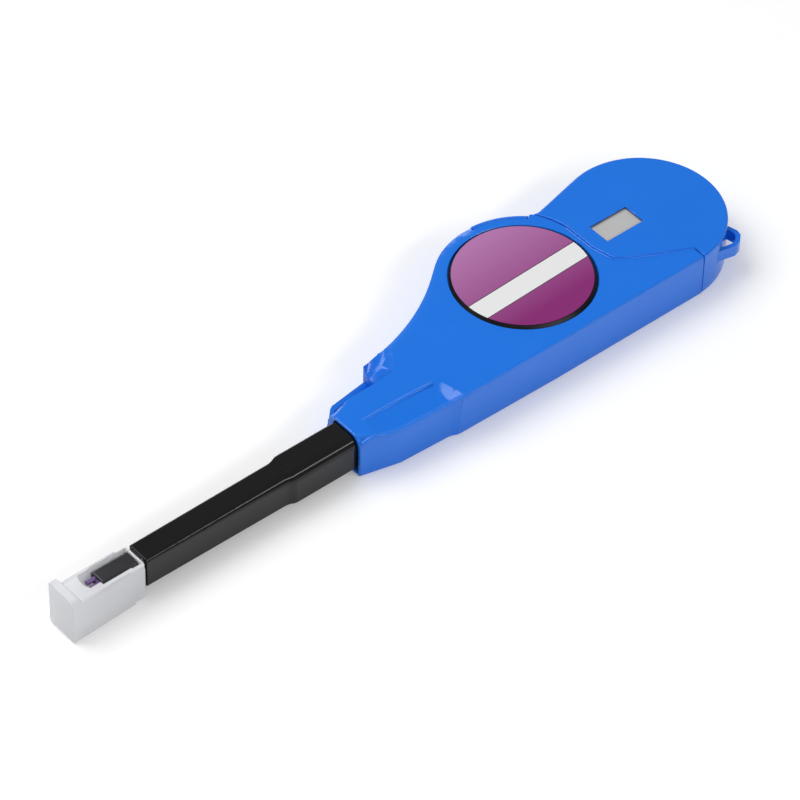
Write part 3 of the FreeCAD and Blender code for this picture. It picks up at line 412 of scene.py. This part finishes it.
def barrel():
    """Black nozzle with its edges eased."""
    made = merged_copy("nozzle", "nozzle_barrel")
    soften(made, COVER_EDGE)
    hand_over(made, "nozzle", "slider", BLACK)


def sleeve():
    """Grey sleeve round the head, its front end rounded."""
    made = merged_copy("tip_sleeve", "sleeve_tube")
    soften(made, SLEEVE_EDGE, sleeve_edge)
    hand_over(made, "tip_sleeve", "slider", DARK)


def cover_cap():
    """Frosted cap with a slot cut in its top, in place of a clear wall."""
    made = merged_copy("cap", "frosted_cap")
    for point in made.data.vertices:
        place = point.co
        if place.x > MOUTH_FROM * MM:
            place.x += MOUTH_MOVE * MM
        if place.x > COLLAR_FROM * MM and place.y < COLLAR_SIDE * MM:
            place.y += COLLAR_MOVE * MM
    cut(made, block(*CAP_SLOT))
    soften(made, CAP_EDGE, cap_edge, turn=16.0)
    hand_over(made, "cap", "cap", FROSTED)


shell_front()
shell_rear()
shell_base()
barrel()
sleeve()
cover_cap()


# ---------------------------------------------------------------- studio

FLOOR_LIFT = 0.17
AIM = (-0.03, 0.0, 0.0)
# name, place, width, watts, height where it isn't square
LAMPS = (("key", (-0.35, 0.45, 0.9), 0.8, 6.9, None),
         ("fill", (-0.6, -0.7, 0.7), 0.9, 0.9, None),
         ("edge", (0.15, -0.85, 0.70), 1.0, 3.2, 0.16),
         ("back", (0.55, 1.0, 0.16), 0.5, 1.6, None))
# direction of the camera in degrees, focal length in millimetres, place in metres
AZIMUTH, HEIGHT, ROLL = -41.14, 44.88, 1.43
LENS = 202.5
CAMERA_PLACE = (-0.61228, -0.65115, 0.85514)


def floor():
    """Pale floor, lifted towards white for camera, transmission and glossy rays."""
    bpy.ops.object.select_all(action="DESELECT")
    bpy.ops.mesh.primitive_plane_add(size=6.0, location=(0.0, 0.0, 0.0))
    plane = bpy.context.object
    plane.name = "floor"
    made, tree, shader = material("studio floor")
    shader.inputs["Base Color"].default_value = (0.93, 0.93, 0.93, 1.0)
    shader.inputs["Roughness"].default_value = 0.9
    shader.inputs["Specular IOR Level"].default_value = 0.0
    seen = add(tree, "ShaderNodeLightPath")
    lift = add(tree, "ShaderNodeMath", operation="MAXIMUM")
    tree.links.new(seen.outputs["Is Camera Ray"], lift.inputs[0])
    tree.links.new(seen.outputs["Is Transmission Ray"], lift.inputs[1])
    shown = add(tree, "ShaderNodeMath", operation="MAXIMUM")
    tree.links.new(lift.outputs["Value"], shown.inputs[0])
    tree.links.new(seen.outputs["Is Glossy Ray"], shown.inputs[1])
    glow = add(tree, "ShaderNodeMath", operation="MULTIPLY")
    glow.inputs[1].default_value = FLOOR_LIFT
    tree.links.new(shown.outputs["Value"], glow.inputs[0])
    shader.inputs["Emission Color"].default_value = (1.0, 1.0, 1.0, 1.0)
    tree.links.new(glow.outputs["Value"], shader.inputs["Emission Strength"])
    plane.data.materials.append(made)


def softbox(name, place, wide, power, tall):
    """Soft lamp aimed at a point, square or a strip."""
    lamp = bpy.data.lights.new(name, "AREA")
    lamp.shape = "RECTANGLE"
    lamp.size = wide
    lamp.size_y = tall or wide
    lamp.energy = power
    holder = bpy.data.objects.new(name, lamp)
    bpy.context.scene.collection.objects.link(holder)
    holder.location = place
    direction = Vector(AIM) - Vector(place)
    holder.rotation_euler = direction.to_track_quat("-Z", "Y").to_euler()


def camera():
    """Long lens from the near left, well above the pen."""
    azimuth, height, roll = (math.radians(part) for part in (AZIMUTH, HEIGHT, ROLL))
    back = Vector((math.sin(azimuth) * math.cos(height), -math.cos(azimuth) * math.cos(height),
                   math.sin(height)))
    side = Vector((math.cos(azimuth), math.sin(azimuth), 0.0))
    rise = back.cross(side)
    right = side * math.cos(roll) + rise * math.sin(roll)
    up = rise * math.cos(roll) - side * math.sin(roll)
    lens = bpy.data.cameras.new("camera")
    lens.sensor_width = 36.0
    lens.lens = LENS
    lens.clip_start, lens.clip_end = 0.05, 20.0
    holder = bpy.data.objects.new("camera", lens)
    bpy.context.scene.collection.objects.link(holder)
    turn = Matrix((right, up, back)).transposed()
    holder.matrix_world = Matrix.Translation(CAMERA_PLACE) @ turn.to_4x4()
    bpy.context.scene.camera = holder


def world():
    """Even pale surroundings."""
    sky = bpy.data.worlds.new("surroundings")
    sky.use_nodes = True
    bpy.context.scene.world = sky
    back = sky.node_tree.nodes["Background"]
    back.inputs["Color"].default_value = (1.0, 1.0, 1.0, 1.0)
    back.inputs["Strength"].default_value = 0.3


floor()
for lamp_row in LAMPS:
    softbox(*lamp_row)
world()
camera()
bpy.context.scene.view_settings.view_transform = "Standard"
